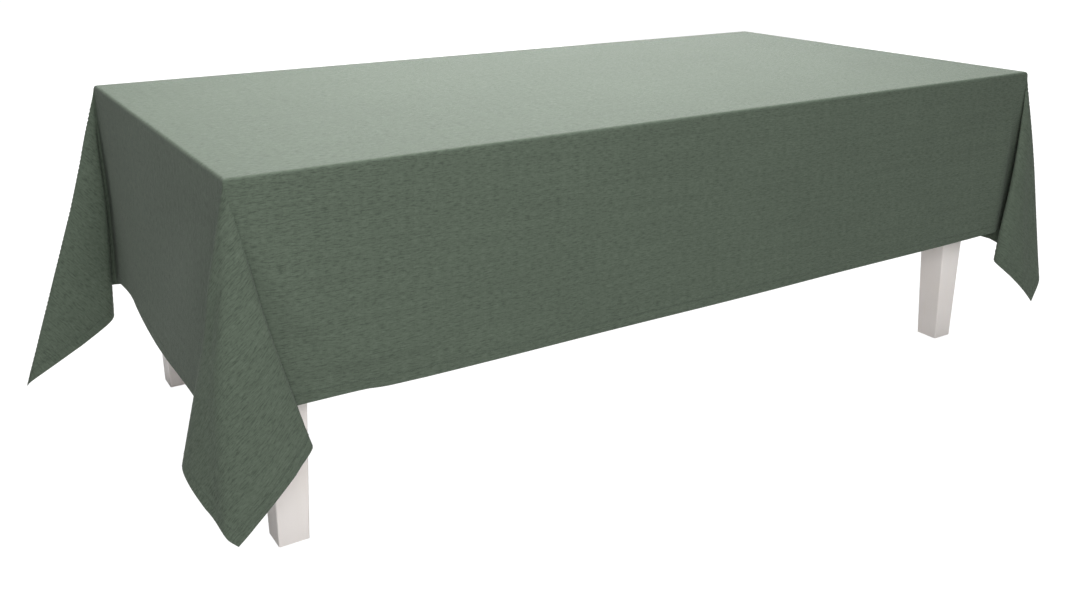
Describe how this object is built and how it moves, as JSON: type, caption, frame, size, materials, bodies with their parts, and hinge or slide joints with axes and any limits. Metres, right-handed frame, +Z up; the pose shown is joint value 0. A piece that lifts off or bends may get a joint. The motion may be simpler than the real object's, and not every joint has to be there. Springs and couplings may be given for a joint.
{
  "type": "tablecloth on a table",
  "caption": "Rectangular dining table on square tapered legs under a loose woven tablecloth that hangs down all four sides and folds into a kite at each corner.",
  "frame": {"origin": "on the floor under the middle of the table top", "axes": "+X along the long side to the right, +Y to the back, +Z up"},
  "size_m": [2.5326, 1.1806, 0.7513],
  "materials": {
    "cloth": "matt slub weave, sage green",
    "white_lacquer": "satin warm white lacquer",
    "zinc_steel": "zinc plated",
    "glide_plastic": "matt moulded nylon"
  },
  "bodies": {
    "table": {"corner_plate_back_left": "zinc_steel", "corner_plate_back_right": "zinc_steel", "corner_plate_front_left": "zinc_steel", "corner_plate_front_right": "zinc_steel", "corner_plate_screws": "zinc_steel", "glide_back_left": "glide_plastic", "glide_back_right": "glide_plastic", "glide_front_left": "glide_plastic", "glide_front_right": "glide_plastic", "leg_back_left": "white_lacquer", "leg_back_right": "white_lacquer", "leg_bolts": "zinc_steel", "leg_front_left": "white_lacquer", "leg_front_right": "white_lacquer", "leg_nuts": "zinc_steel", "rail_back": "white_lacquer", "rail_cross": "white_lacquer", "rail_front": "white_lacquer", "rail_left": "white_lacquer", "rail_right": "white_lacquer", "tabletop": "white_lacquer", "top_angle_screws": "zinc_steel", "top_angles": "zinc_steel"},
    "cloth": {"cloth_drop_back": "cloth", "cloth_drop_front": "cloth", "cloth_drop_left": "cloth", "cloth_drop_right": "cloth", "cloth_fold_back_left": "cloth", "cloth_fold_back_right": "cloth", "cloth_fold_front_left": "cloth", "cloth_fold_front_right": "cloth", "cloth_top": "cloth"}
  },
  "joints": [
    {"name": "cloth_lift", "type": "slide", "parent": "table", "child": "cloth", "axis": [0, 0, 1], "range_m": [0, 0.72]}
  ]
}
